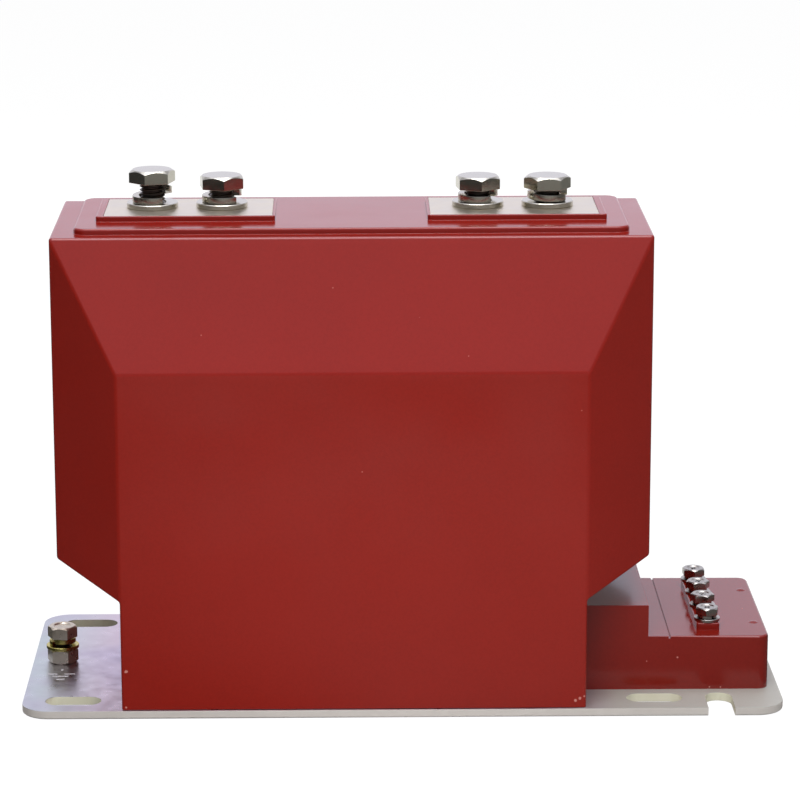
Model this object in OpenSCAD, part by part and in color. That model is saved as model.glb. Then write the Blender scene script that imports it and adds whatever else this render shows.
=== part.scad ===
// Indoor current transformer, post type, cast in epoxy resin on a steel mounting plate.
// The origin is the centre of the plate's underside. X runs along the plate, -Y is the front, Z is up.

/* [Mounting plate] */
// Length of the plate
plate_l = 353; // [345:1:400]
// Depth of the plate, front to back
plate_w = 150; // [150:1:170]
// Thickness of the plate
plate_t = 4; // [3:0.5:8]
// Radius of the plate's corners
plate_corner_r = 13; // [4:0.5:15]
// Distance between the slot centres along the plate
slot_pitch_x = 270; // [262:1:280]
// Distance between the slot centres across the plate
slot_pitch_y = 120; // [112:1:124]
// Length of a slot over its round ends
slot_l = 26; // [18:1:30]
// Width of a slot
slot_w = 12; // [9:0.5:14]
// Place of the slot pattern along the plate
slot_x = -18; // [-20:0.5:-16]
// Place of the open notches along the plate
notch_x = 147; // [140:0.5:152]
// Width of a notch
notch_w = 12.4; // [9:0.2:14]
// Depth of a notch from the plate's edge
notch_depth = 22; // [14:0.5:24]

/* [Cast body] */
// Place of the body's centre along the plate
body_x = -22.6; // [-26:0.1:-20]
// Length of the core block
block_l = 214; // [206:1:220]
// Depth of the core block
block_w = 148; // [146:1:150]
// Height of the core block's top edge above the plate
shoulder_h = 158.6; // [150:0.2:170]
// Length of the head over both ends
head_l = 275; // [266:1:275]
// Depth of the head
head_w = 95.6; // [92:0.2:110]
// Height of the head's top above the plate
head_h = 216.3; // [210:0.1:230]
// Height of the overhang above the plate at its end
overhang_end_h = 65.2; // [60:0.2:80]
// Height of the overhang above the plate where it leaves the block
overhang_root_h = 51.6; // [48:0.2:60]
// Radius of the body's upright and long edges
edge_r = 1.5; // [0.5:0.1:2.5]

/* [Plateau and pads] */
// Margin of the plateau from the head's ends
plateau_margin = 10.4; // [8:0.1:16]
// Depth of the plateau
plateau_w = 81; // [74:1:84]
// Height of the plateau
plateau_h = 2.8; // [2:0.1:6]
// Radius of the plateau's corners
plateau_r = 6; // [2:0.5:8]
// Radius of the top edges of the plateau and the pads
pad_edge_r = 0.6; // [0.3:0.1:1]
// Height of a terminal pad above the plateau
pad_h = 2.6; // [2:0.1:6]
// Width of the pad's rim round the terminal: at the outer end, at the inner end, at the front and back
pad_rim = [3.4, 1.2, 1.2]; // [1:0.1:4]
// Radius of the pad's corners
pad_r = 1.5; // [0.5:0.1:2]

/* [Primary terminals] */
// Distance between the two terminals' centres
terminal_pitch = 150.6; // [146:0.2:154]
// Length of a terminal plate
terminal_l = 78; // [76:0.5:80]
// Depth of a terminal plate
terminal_w = 44; // [40:0.5:46]
// Thickness of a terminal plate
terminal_t = 8; // [6:0.5:12]
// Size of the tapped block under a terminal plate: length, depth, height
terminal_block = [60, 28, 22]; // [20:1:64]
// Distance between the two bolts of a terminal
bolt_pitch = 32.4; // [28:0.2:36]
// Shift of the bolt row behind the terminals' centre
bolt_y = 1; // [-3:0.5:3]
// Shift of each terminal's pair of bolts along the plate
bolt_shift = [-1.2, 0]; // [-2:0.1:2]
// Depth of the tapped holes in a terminal
bolt_hole_depth = 27; // [25:0.5:28]

/* [Primary bolts and washers] */
// Thread diameter of the bolts
bolt_d = 12; // [10:0.5:12]
// Length of the bolts under the head
bolt_l = 30; // [26:1:32]
// Width of the bolt head across its flats
bolt_af = 19; // [17:0.5:21]
// Height of the bolt head
bolt_head_h = 6; // [5:0.1:8]
// Outer diameter of the flat washers
bolt_washer_d = 24; // [20:0.5:28]
// Thickness of the flat washers
bolt_washer_t = 2.5; // [1.5:0.1:3]
// Side of the spring washers' square wire
bolt_spring_wire = 3.1; // [2:0.1:3.4]
// Height of the spring washers under the four bolts
bolt_spring_h = [9.4, 6.5, 5.7, 5.6]; // [4:0.1:10]
// Direction of the four spring washers' splits
bolt_split = [-50, -35, -45, -20]; // [-180:1:180]
// How late each spring washer climbs: 1 is an even climb, more is flat first and steep at its end
bolt_climb = [3, 3, 2, 1]; // [1:0.5:3]

/* [Secondary terminal deck] */
// Height of the neck above the plate
neck_h = 41; // [36:0.5:50]
// Length of the neck beyond the core block
neck_l = 30.6; // [26:0.2:32]
// Height of the deck above the plate
deck_h = 25.8; // [22:0.2:32]
// Length of the deck beyond the neck
deck_l = 56.5; // [52:0.5:57]
// Depth of the neck and the deck
deck_w = 95.6; // [92:0.2:104]
// Radius of the deck's outer corners
deck_r = 5; // [2:0.5:8]
// Place of the groove beyond the neck
groove_x = 10; // [6:0.5:14]
// Width and depth of the groove
groove = [1, 1]; // [0.5:0.1:2]
// Length, width and height of the rib under the screws
rib = [76, 10.8, 3.2]; // [2:0.2:84]
// Radius of the rib's corners and top edges
rib_r = [1.2, 0.6]; // [0.3:0.1:3]
// Place of the rib beyond the neck
rib_x = 28.9; // [26:0.1:32]
// Diameter and height of the two cover pips
pip = [4.4, 1.2]; // [1:0.1:6]
// Distance between the cover pips
pip_pitch = 52; // [40:1:60]
// Distance of the pips from the deck's end
pip_margin = 5; // [4:0.5:8]

/* [Secondary screws and washers] */
// Number of secondary screws
screw_count = 4; // [2:1:4]
// Distance between the secondary screws
screw_pitch = 21.3; // [18:0.1:22]
// Thread diameter of the secondary screws
screw_d = 6; // [5:0.5:6]
// Length of the secondary screws under the head
screw_l = 12; // [10:1:14]
// Width of the screw head across its flats
screw_af = 10; // [8:0.5:11]
// Height of the screw head
screw_head_h = 3.5; // [3:0.1:5]
// Outer diameter of the flat washers
screw_washer_d = 12.2; // [11:0.1:14]
// Thickness of the flat washers
screw_washer_t = 1.5; // [1:0.1:2]
// Side of the spring washers' square wire
screw_spring_wire = 1.3; // [1:0.1:1.6]
// Height of the spring washers
screw_spring_h = 1.6; // [1.6:0.1:3]
// Outer diameter of the brass inserts
insert_d = 10; // [9:0.5:12]
// Length of the brass inserts
insert_l = 16; // [15:0.5:18]

/* [Earth terminal] */
// Place of the earth terminal along the plate
earth_x = -162.4; // [-163:0.1:-160]
// Thread diameter of the earth screw
earth_d = 8; // [6:0.5:8]
// Length of the earth screw under the head
earth_l = 15; // [13:0.5:16]
// Width across the flats of the earth nut and the screw head
earth_af = [13, 12.5]; // [11:0.1:14]
// Height of the earth nut
earth_nut_h = 7; // [5:0.1:8]
// Height of the earth screw's head
earth_head_h = 5.6; // [4:0.1:6]
// Outer diameter of the earth washer
earth_washer_d = 15.6; // [14:0.1:18]
// Thickness of the earth washer
earth_washer_t = 1.6; // [1:0.1:2.5]
// Side of the earth spring washer's square wire
earth_spring_wire = 2.1; // [1.6:0.1:2.4]
// Height of the earth spring washer
earth_spring_h = 3.8; // [3:0.1:5]

/* [Foot fixings] */
// Distance of the foot screws from the core block's ends and from its front and back
foot_margin = [22, 22]; // [18:0.5:26]
// Thread diameter of the foot screws
foot_screw_d = 8; // [6:0.5:8]
// Length of the foot screws over the head
foot_screw_l = 20; // [16:1:22]
// Diameter of the countersunk head
foot_head_d = 15; // [12:0.5:16]
// Outer diameter of the inserts in the foot
foot_insert_d = 14; // [12:0.5:18]
// Length of the inserts in the foot
foot_insert_l = 20; // [19:1:24]

/* [Magnetic circuit and conductor] */
// Height of the core axis above the plate
core_h = 80; // [78:1:82]
// Outer diameter of a wound ring core
core_d = 124; // [110:1:126]
// Inner diameter of a wound ring core
core_bore = 76; // [72:1:84]
// Width of a core along the conductor
core_w = 44; // [30:1:46]
// Thickness of the winding round a core
winding_t = 5; // [3:0.5:6]
// Distance between the two windings
winding_gap = 8; // [4:1:10]
// Width and thickness of the copper bar
bar = [30, 10]; // [8:1:34]
// Inner bend radius of the copper bar
bar_bend_r = 6; // [4:1:8]
// Diameter of a secondary lead
lead_d = 2.6; // [1.6:0.2:3]
// Height of the leads above the plate
lead_h = 7; // [6:0.5:8]
// Distance of the leads from the rows of foot screws, inner and outer pair
lead_gap = [24, 10]; // [9:1:26]

/* [Hidden] */
$fn = 96;
count = 4;

resin = [0.54, 0.14, 0.12];
zinc = [0.78, 0.78, 0.80];
tin = [0.88, 0.86, 0.82];
steel = [0.62, 0.62, 0.60];
yellow_zinc = [0.70, 0.66, 0.42];
copper = [0.80, 0.48, 0.32];
brass = [0.80, 0.68, 0.36];
core_steel = [0.35, 0.36, 0.38];

eps = 0.5;
buried = 5;
round_end_flat = 0.01;
thread_gap = 0.1;
hole_gap = 0.5;
insert_floor = 3;
chamfer_angle = 35;
head_top_share = 0.95;
ring_steps = 36;
split_deg = 14;

top_z = plate_t + head_h;
plateau_z = top_z + plateau_h;
terminal_z = plateau_z + pad_h;
terminal_x = [for (side = [-1, 1]) body_x + side * terminal_pitch / 2];
pad_x = [for (side = [-1, 1]) body_x + side * (terminal_pitch + pad_rim[0] - pad_rim[1]) / 2];
bolt_x = [for (i = [0, 1]) for (side = [-1, 1]) terminal_x[i] + bolt_shift[i] + side * bolt_pitch / 2];
bolt_turn = [15, 38, 37.6, 2];
bolt_seat_z = terminal_z + bolt_washer_t;

block_end = body_x + block_l / 2;
neck_end = block_end + neck_l;
deck_end = neck_end + deck_l;
deck_z = plate_t + deck_h;
rib_mid = neck_end + rib_x;
rib_z = deck_z + rib[2];
screw_y = [for (i = [0 : screw_count - 1]) (i - (screw_count - 1) / 2) * screw_pitch];
screw_turn = [20, 50, 5, 33];
screw_split = -60;
screw_seat_z = rib_z + screw_washer_t;

earth_hole_d = earth_d + 2 * hole_gap;
earth_washer_z = plate_t + earth_nut_h;
earth_seat_z = earth_washer_z + earth_washer_t;
earth_turn = -7;
earth_split = -130;

foot_xy = [for (x = [-1, 1]) for (y = [-1, 1])
    [body_x + x * (block_l / 2 - foot_margin[0]), y * (block_w / 2 - foot_margin[1])]];
lead_y = [for (gap = lead_gap) block_w / 2 - foot_margin[1] - gap];
core_z = plate_t + core_h;
winding_d = core_d + 2 * winding_t;
winding_w = core_w + 2 * winding_t;
core_x = [for (side = [-1, 1]) body_x + side * (winding_w + winding_gap) / 2];

// Flat shape with straight sides between round corners of one radius, for a convex outline
module rounded_outline(corners, r) {
    n = len(corners);
    arcs = [for (i = [0 : n - 1]) corner_arc(corners[(i + n - 1) % n], corners[i], corners[(i + 1) % n], r)];
    polygon([for (arc = arcs) for (p = [arc[1], arc[2]]) p]);
    for (arc = arcs) translate(arc[0]) circle(r);
}

// Centre and two tangent points of the arc that rounds the corner at b
function corner_arc(a, b, c, r) =
    let (u = (a - b) / norm(a - b), v = (c - b) / norm(c - b))
    let (half = acos(u * v) / 2)
    [b + (u + v) / norm(u + v) * r / sin(half), b + u * r / tan(half), b + v * r / tan(half)];

function rectangle(l, w) = [[-l / 2, -w / 2], [l / 2, -w / 2], [l / 2, w / 2], [-l / 2, w / 2]];

// View of a block from the side: its foot is buried and its upper corners are round
module side_view(l, h, r) {
    rounded_outline([[-l / 2, -buried], [l / 2, -buried], [l / 2, h], [-l / 2, h]], r);
}

// Block cast on a face at z = 0, with round upright corners and round top edges, and its root in that face
module cast_block(l, w, h, corner_r, top_r) {
    intersection() {
        translate([0, 0, -eps]) linear_extrude(h + 2 * eps) rounded_outline(rectangle(l, w), corner_r);
        rotate([90, 0, 0]) linear_extrude(w + 2 * eps, center = true) side_view(l, h, top_r);
        rotate([90, 0, 90]) linear_extrude(l + 2 * eps, center = true) side_view(w, h, top_r);
    }
}

module at_slots() {
    for (x = [-1, 1]) for (y = [-1, 1]) translate([slot_x + x * slot_pitch_x / 2, y * slot_pitch_y / 2]) children();
}

// Slot with round ends, along X
module slot(l, w) {
    square([l - w, w], center = true);
    for (side = [-1, 1]) translate([side * (l - w) / 2, 0]) circle(d = w);
}

// Notch that opens at the plate's front or back edge
module notch(side) {
    end_y = plate_w / 2 - notch_depth + notch_w / 2;
    translate([notch_x, side * end_y]) circle(d = notch_w);
    translate([notch_x - notch_w / 2, side > 0 ? end_y : -plate_w / 2 - eps])
        square([notch_w, notch_depth - notch_w / 2 + eps]);
}

module foot_screw_shape(gap = 0) {
    head_h = (foot_head_d - foot_screw_d) / 2;
    cylinder(h = head_h, d1 = foot_head_d + 2 * gap, d2 = foot_screw_d + 2 * gap);
    cylinder(h = foot_screw_l, d = foot_screw_d + 2 * gap);
}

module base_plate() {
    color(zinc) difference() {
        linear_extrude(plate_t) difference() {
            rounded_outline(rectangle(plate_l, plate_w), plate_corner_r);
            at_slots() slot(slot_l, slot_w);
            for (side = [-1, 1]) notch(side);
            translate([earth_x, 0]) circle(d = earth_hole_d);
        }
        for (p = foot_xy) translate([p[0], p[1], 0]) {
            translate([0, 0, -thread_gap]) foot_screw_shape(thread_gap);
        }
    }
}

// Plan of the body: the block's front and back, the head's ends, and the slanting cheeks between them
module body_plan() {
    rounded_outline([
        [-block_l / 2, -block_w / 2], [block_l / 2, -block_w / 2], [head_l / 2, -head_w / 2],
        [head_l / 2, head_w / 2], [block_l / 2, block_w / 2], [-block_l / 2, block_w / 2],
        [-head_l / 2, head_w / 2], [-head_l / 2, -head_w / 2]], edge_r);
}

// End view of the body: upright sides up to the shoulder, then slopes to the head's depth
module body_end_view() {
    rounded_outline([
        [-block_w / 2, -buried], [block_w / 2, -buried], [block_w / 2, shoulder_h],
        [head_w / 2, head_h], [-head_w / 2, head_h], [-block_w / 2, shoulder_h]], edge_r);
}

// Front view of the body: the block below and the wider head with its rising undersides above
module body_front_view() {
    translate([-block_l / 2, 0]) square([block_l, overhang_end_h]);
    rounded_outline([
        [-block_l / 2, overhang_root_h], [block_l / 2, overhang_root_h], [head_l / 2, overhang_end_h],
        [head_l / 2, head_h], [-head_l / 2, head_h], [-head_l / 2, overhang_end_h]], edge_r);
}

module main_casting() {
    intersection() {
        linear_extrude(head_h) body_plan();
        rotate([90, 0, 90]) linear_extrude(head_l + 2 * eps, center = true) body_end_view();
        rotate([90, 0, 0]) linear_extrude(block_w + 2 * eps, center = true) body_front_view();
    }
}

module top_of_casting() {
    translate([body_x, 0, top_z])
        cast_block(head_l - 2 * plateau_margin, plateau_w, plateau_h, plateau_r, pad_edge_r);
    for (x = pad_x) translate([x, 0, plateau_z])
        cast_block(terminal_l + pad_rim[0] + pad_rim[1], terminal_w + 2 * pad_rim[2], pad_h, pad_r, pad_edge_r);
}

// Neck beside the core block, deck beyond it, and the rib and pips on the deck
module secondary_block() {
    root_x = block_end - buried;
    intersection() {
        union() {
            secondary_part(neck_end - root_x, neck_h, edge_r);
            secondary_part(deck_end - root_x, deck_h, deck_r);
        }
        translate([root_x, -deck_w / 2, plate_t]) cube([deck_end - root_x, deck_w, neck_h]);
    }
    translate([rib_mid, 0, deck_z]) cast_block(rib[1], rib[0], rib[2], rib_r[0], rib_r[1]);
    for (side = [-1, 1]) translate([deck_end - pip_margin, side * pip_pitch / 2, deck_z]) cover_pip();
}

module secondary_part(l, h, corner_r) {
    translate([block_end - buried + l / 2, 0, plate_t]) cast_block(l, deck_w, h, corner_r, edge_r);
}

// Low dome that a terminal cover snaps over
module cover_pip() {
    r = (pow(pip[0] / 2, 2) + pow(pip[1], 2)) / (2 * pip[1]);
    intersection() {
        translate([0, 0, pip[1] - r]) sphere(r);
        translate([0, 0, -eps]) cylinder(h = pip[1] + 2 * eps, d = pip[0]);
    }
}

module groove_cut() {
    translate([neck_end + groove_x - groove[0] / 2, -deck_w / 2 - eps, deck_z - groove[1]])
        cube([groove[0], deck_w + 2 * eps, groove[1] + eps]);
}

// Everything that the resin flows round, at its own size
module cast_in_parts() {
    for (i = [0, 1]) {
        primary_terminal_outside(i);
        winding_outside(i);
    }
    conductor_shape();
    for (y = screw_y) translate([rib_mid, y, rib_z - insert_l]) cylinder(h = insert_l + eps, d = insert_d);
    for (p = foot_xy) translate([p[0], p[1], plate_t - eps]) cylinder(h = foot_insert_l + eps, d = foot_insert_d);
}

module resin_body() {
    color(resin) difference() {
        union() {
            translate([body_x, 0, plate_t]) main_casting();
            top_of_casting();
            secondary_block();
        }
        groove_cut();
        cast_in_parts();
    }
}

module primary_terminal_outside(i) {
    translate([terminal_x[i], 0, terminal_z - terminal_t / 2])
        cube([terminal_l, terminal_w, terminal_t], center = true);
    translate([terminal_x[i], bolt_y, terminal_z - terminal_t - terminal_block[2] / 2])
        cube(terminal_block, center = true);
}

module primary_terminal(i) {
    color(tin) difference() {
        primary_terminal_outside(i);
        for (k = [2 * i, 2 * i + 1]) translate([bolt_x[k], bolt_y, terminal_z - bolt_hole_depth])
            cylinder(h = bolt_hole_depth + eps, d = bolt_d);
    }
}

// Copper bar bent into a U: down from one terminal, through both cores, up to the other
module conductor_shape() {
    top = terminal_z - terminal_t - terminal_block[2];
    bottom = core_z - bar[1] / 2;
    outer = terminal_pitch / 2 + bar[1] / 2;
    inner = outer - bar[1];
    translate([body_x, bolt_y, 0]) rotate([90, 0, 0]) linear_extrude(bar[0], center = true) difference() {
        union() {
            translate([-outer, bottom + 2 * bar_bend_r + bar[1]])
                square([2 * outer, top - bottom - 2 * bar_bend_r - bar[1]]);
            translate([0, bottom + bar_bend_r + bar[1]])
                rounded_outline(rectangle(2 * outer, 2 * (bar_bend_r + bar[1])), bar_bend_r + bar[1] - round_end_flat);
        }
        translate([-inner, bottom + 2 * bar_bend_r + bar[1]]) square([2 * inner, top - bottom]);
        translate([0, bottom + bar[1] + bar_bend_r + eps])
            rounded_outline(rectangle(2 * inner, 2 * bar_bend_r + 2 * eps), bar_bend_r);
    }
}

module primary_conductor() {
    color(copper) conductor_shape();
}

// Ring of square section round the X axis at the core's place
module ring_on_axis(i, outer, bore, w) {
    translate([core_x[i], 0, core_z]) rotate([0, 90, 0]) difference() {
        cylinder(h = w, d = outer, center = true);
        cylinder(h = w + 2 * eps, d = bore, center = true);
    }
}

module core(i) {
    color(core_steel) ring_on_axis(i, core_d, core_bore, core_w);
}

// Two leads of one winding: down from the ring, along the foot, across and up to the inserts
module leads(i) {
    run_y = lead_y[1 - i];
    target = i == 0 ? screw_y[screw_count - 1] : screw_y[floor(screw_count / 2)];
    ring_z = core_z - sqrt(pow(winding_d / 2, 2) - pow(run_y, 2));
    run_z = plate_t + lead_h;
    for (side = [-1, 1]) {
        lead([
            [core_x[i], side * run_y, ring_z + winding_t / 2], [core_x[i], side * run_y, run_z],
            [rib_mid, side * run_y, run_z], [rib_mid, side * target, run_z],
            [rib_mid, side * target, rib_z - insert_l]]);
    }
}

// Round wire along a path of straight stretches that run parallel to the axes
module lead(path) {
    for (k = [0 : len(path) - 2]) {
        step = path[k + 1] - path[k];
        translate(path[k]) rotate([0, acos(step[2] / norm(step)), atan2(step[1], step[0])])
            cylinder(h = norm(step), d = lead_d);
    }
    for (k = [1 : len(path) - 2]) translate(path[k]) sphere(d = lead_d);
}

module winding_outside(i) {
    ring_on_axis(i, winding_d, core_bore - 2 * winding_t, winding_w);
    leads(i);
}

module winding(i) {
    color(copper) difference() {
        winding_outside(i);
        ring_on_axis(i, core_d, core_bore, core_w);
    }
}

// Hexagon with a turned chamfer round its top, standing on z = 0
module hex_head(af, h) {
    top_d = af * head_top_share;
    intersection() {
        cylinder(h = h, d = af / cos(30), $fn = 6);
        cylinder(h = h, d1 = top_d + 2 * h / tan(chamfer_angle), d2 = top_d);
    }
}

module hex_bolt(d, l, af, h) {
    hex_head(af, h);
    translate([0, 0, -l]) cylinder(h = l + eps, d = d - 2 * thread_gap);
}

module flat_washer(d, bore, t) {
    difference() {
        cylinder(h = t, d = d);
        translate([0, 0, -eps]) cylinder(h = t + 2 * eps, d = bore);
    }
}

// Split ring of square wire, wound to the left for a right-hand thread: from its lower end on z = 0
// it climbs clockwise, seen from above, to its upper end at z = h, evenly or late
module spring_washer(bore, wire, h, climb = 1) {
    turn = 360 - split_deg;
    ring = [for (k = [0 : ring_steps]) for (corner = [[0, 0], [0, wire], [wire, wire], [wire, 0]])
        let (share = k / ring_steps, angle = -split_deg / 2 - turn * share, r = bore / 2 + corner[0])
        [r * cos(angle), r * sin(angle), corner[1] + (h - wire) * pow(share, climb)]];
    sides = [for (k = [0 : ring_steps - 1]) for (c = [0 : 3])
        [4 * k + c, 4 * k + (c + 1) % 4, 4 * k + 4 + (c + 1) % 4, 4 * k + 4 + c]];
    polyhedron(ring, concat(sides, [[3, 2, 1, 0], [for (c = [0 : 3]) 4 * ring_steps + c]]));
}

module primary_bolt(i) {
    color(steel) translate([bolt_x[i], bolt_y, bolt_seat_z + bolt_spring_h[i]]) rotate(bolt_turn[i])
        hex_bolt(bolt_d, bolt_l, bolt_af, bolt_head_h);
}

module primary_spring_washer(i) {
    color(steel) translate([bolt_x[i], bolt_y, bolt_seat_z]) rotate(bolt_split[i])
        spring_washer(bolt_d + hole_gap, bolt_spring_wire, bolt_spring_h[i], bolt_climb[i]);
}

module primary_flat_washer(i) {
    color(steel) translate([bolt_x[i], bolt_y, terminal_z])
        flat_washer(bolt_washer_d, bolt_d + 2 * hole_gap, bolt_washer_t);
}

module secondary_screw(i) {
    color(steel) translate([rib_mid, screw_y[i], screw_seat_z + screw_spring_h]) rotate(screw_turn[i])
        hex_bolt(screw_d, screw_l, screw_af, screw_head_h);
}

module secondary_spring_washer(i) {
    color(steel) translate([rib_mid, screw_y[i], screw_seat_z]) rotate(screw_split)
        spring_washer(screw_d + hole_gap, screw_spring_wire, screw_spring_h);
}

module secondary_flat_washer(i) {
    color(steel) translate([rib_mid, screw_y[i], rib_z])
        flat_washer(screw_washer_d, screw_d + hole_gap, screw_washer_t);
}

module secondary_insert(i) {
    color(brass) translate([rib_mid, screw_y[i], rib_z - insert_l]) difference() {
        cylinder(h = insert_l, d = insert_d);
        translate([0, 0, insert_l - screw_l]) cylinder(h = screw_l + eps, d = screw_d);
    }
}

module earth_screw() {
    color(yellow_zinc) translate([earth_x, 0, earth_seat_z + earth_spring_h]) rotate(earth_turn)
        hex_bolt(earth_d, earth_l, earth_af[1], earth_head_h);
}

module earth_spring_washer() {
    color(yellow_zinc) translate([earth_x, 0, earth_seat_z]) rotate(earth_split)
        spring_washer(earth_d + hole_gap, earth_spring_wire, earth_spring_h);
}

module earth_flat_washer() {
    color(zinc) translate([earth_x, 0, earth_washer_z])
        flat_washer(earth_washer_d, earth_d + hole_gap, earth_washer_t);
}

module earth_nut() {
    color(yellow_zinc) translate([earth_x, 0, plate_t]) rotate(earth_turn) difference() {
        hex_head(earth_af[0], earth_nut_h);
        translate([0, 0, -eps]) cylinder(h = earth_nut_h + 2 * eps, d = earth_d);
    }
}

module base_screw(i) {
    color(steel) translate([foot_xy[i][0], foot_xy[i][1], 0]) foot_screw_shape();
}

module body_insert(i) {
    color(brass) translate([foot_xy[i][0], foot_xy[i][1], plate_t]) difference() {
        cylinder(h = foot_insert_l, d = foot_insert_d);
        translate([0, 0, -eps])
            cylinder(h = foot_insert_l - insert_floor + eps, d = foot_screw_d + 2 * thread_gap);
    }
}

base_plate();
resin_body();
primary_terminal(0);  // primary_terminal_p1
primary_terminal(1);  // primary_terminal_p2
primary_conductor();
core(0);  // measuring_core
core(1);  // protection_core
winding(0);  // measuring_winding
winding(1);  // protection_winding
for (i = [1 : count]) {
    primary_bolt(i - 1);
    primary_spring_washer(i - 1);
    primary_flat_washer(i - 1);
    base_screw(i - 1);
    body_insert(i - 1);
}
for (i = [1 : screw_count]) {
    secondary_screw(i - 1);
    secondary_spring_washer(i - 1);
    secondary_flat_washer(i - 1);
    secondary_insert(i - 1);
}
earth_screw();
earth_spring_washer();
earth_flat_washer();
earth_nut();
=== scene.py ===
"""Indoor current transformer: red cast-resin body on a zinc-plated mounting plate, in a plain pale studio.

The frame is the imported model's: metres, X along the plate, -Y to the front, Z up. Sizes are in millimetres,
apart from those of the studio.
"""

from math import atan2, cos, hypot, pi, radians, tan

import bmesh
import bpy
from mathutils import Matrix, Vector


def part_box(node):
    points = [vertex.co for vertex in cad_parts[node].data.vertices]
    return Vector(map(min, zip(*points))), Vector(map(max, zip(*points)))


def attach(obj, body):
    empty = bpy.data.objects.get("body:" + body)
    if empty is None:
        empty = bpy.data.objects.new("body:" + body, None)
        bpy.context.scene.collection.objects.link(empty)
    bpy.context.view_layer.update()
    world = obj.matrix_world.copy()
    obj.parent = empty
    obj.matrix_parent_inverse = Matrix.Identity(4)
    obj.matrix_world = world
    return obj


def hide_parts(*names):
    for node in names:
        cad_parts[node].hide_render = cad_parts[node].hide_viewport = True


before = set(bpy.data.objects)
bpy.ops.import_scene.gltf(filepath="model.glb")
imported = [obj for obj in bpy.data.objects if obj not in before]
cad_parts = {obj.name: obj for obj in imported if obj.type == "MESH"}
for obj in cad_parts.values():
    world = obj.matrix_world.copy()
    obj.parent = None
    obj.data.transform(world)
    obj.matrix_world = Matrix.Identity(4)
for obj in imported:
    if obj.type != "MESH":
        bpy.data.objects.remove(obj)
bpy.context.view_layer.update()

MM = 0.001

# Cast body, as in the part's source. Forms are given by length, width and height.
PLATE_TOP = 4
BODY_X = -22.6
BLOCK = (214, 148)
HEAD = (275, 95.6)
SHOULDER_Z = PLATE_TOP + 158.6
HEAD_TOP = PLATE_TOP + 216.3
OVERHANG_ROOT_Z = PLATE_TOP + 51.6
OVERHANG_END_Z = PLATE_TOP + 65.2
PLATEAU = (254.2, 81, 2.8)
PLATEAU_CORNER = 6
PAD_OUTER_RIM = 3.4
PAD_RIM = 1.2
PAD_HEIGHT = 2.6
PAD_CORNER = 1.5
NECK_END = 115
NECK_TOP = PLATE_TOP + 41
DECK_END = 171.5
DECK_TOP = PLATE_TOP + 25.8
DECK_WIDTH = 95.6
DECK_CORNER = 5
GROOVE_X = 125
GROOVE = 1
RIB = (10.8, 76, 3.2)
RIB_X = 143.9
RIB_CORNER = 1.2

# Pips that a terminal cover snaps over, which stand on a low foot and are rooted in the deck
PIP_WIDTH = 4.4
PIP_HEIGHT = 0.5
PIP_RISE = 0.05
PIP_ROOT = 1
PIP_RINGS = 6
PIP_PLACES = ((166.5, -26), (166.5, 26))

# Rounded edges and inner corners of the casting
MOULD_EDGE = 1.2
FOOT_EDGE = 0.5
NECK_EDGE = 0.4
PAD_EDGE = 0.6
RIB_EDGE = 0.6
FOOT_FILLET = 0.3
DECK_FILLET = 0.4

# How deep joined forms reach into the one that carries them, and how far cutting forms stand out of it
SUNK = 4
PROUD = 1

# Mounting plate: its upper edge is barely broken, its lower edge rolled over by the shears. The rim is as
# wide as RIM_DEPTH, and faces whose normals rise less than WALL_NORMAL_Z are walls.
PLATE_CORNER = 13
PLATE_EDGE = 0.3
PLATE_ROLLOVER = 0.9
RIM_DEPTH = 1
WALL_NORMAL_Z = 0.3

# Finishes by their place in a piece's list: the plate's cut walls and sheared rim, and the screws' threads
CUT_WALL_PLACE = 1
SHEARED_RIM_PLACE = 2
THREAD_PLACE = 1

# Terminal plates and the printed earth sign
TERMINAL_THICKNESS = 8
TERMINAL_EDGE = 0.5
SIGN_THICKNESS = 0.06

# Hexagon heads and nuts: slope of the chamfer, round face by the width across flats, broken edges, and the
# chamfer of a nut's hole
HEX_CHAMFER = radians(35)
HEX_TOP_SHARE = 0.95
HEX_EDGE = 0.18
HOLE_CHAMFER = 0.6

# Screw threads: depth by pitch, play round the thread, its reach into the head, and turns to be cut off
THREAD_DEPTH = 0.61
THREAD_PLAY = 0.2
THREAD_IN_HEAD = 0.5
THREAD_SPARE = 3

# Cross recess: its turn from the hexagon in degrees, and its narrower floor
CROSS_TURN = 20
CROSS_FLOOR_SHARE = 0.4

# Washers: softened edge by thickness, and the open gap of the spring washers
WASHER_SOFT_SHARE = 0.12
SPRING_GAP = radians(14)

# Screws: a dent is the hollow's radius and depth, a cross is its arms' width, reach and depth
BOLT = {"flats": 19, "head_height": 6, "size": 12, "pitch": 1.75}
DECK_SCREW = {
    "flats": 10, "head_height": 3.5, "size": 6, "pitch": 1, "dent": (3.4, 0.5), "cross": (0.9, 4.4, 1.4),
}
EARTH_SCREW = {"flats": 12.5, "head_height": 5.6, "size": 8, "pitch": 1.25, "dent": (4.3, 0.6)}
NUT_FLATS = 13
NUT_HOLE_RADIUS = 4

# Bore and wire side of the spring washers, and bore of the flat ones
BOLT_SPRING = (12.5, 3.1)
DECK_SPRING = (6.5, 1.3)
EARTH_SPRING = (8.5, 2.1)
BOLT_WASHER_BORE = 13
DECK_WASHER_BORE = 6.5
EARTH_WASHER_BORE = 8.5

# How each screw and each washer's gap is turned, in degrees, and how late each big washer climbs
BOLT_TURN = (15, 38, 37.6, 2)
BOLT_SPLIT = (-50, -35, -45, -20)
BOLT_CLIMB = (3, 3, 2, 1)
SCREW_TURN = (20, 50, 5, 33)
SCREW_SPLIT = -60
EARTH_TURN = -7
EARTH_SPLIT = -130

# Steps of a full turn
PIP_STEPS = 24
HEX_STEPS = 72
THREAD_STEPS = 36
SPRING_STEPS = 60
WASHER_STEPS = 64

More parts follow.
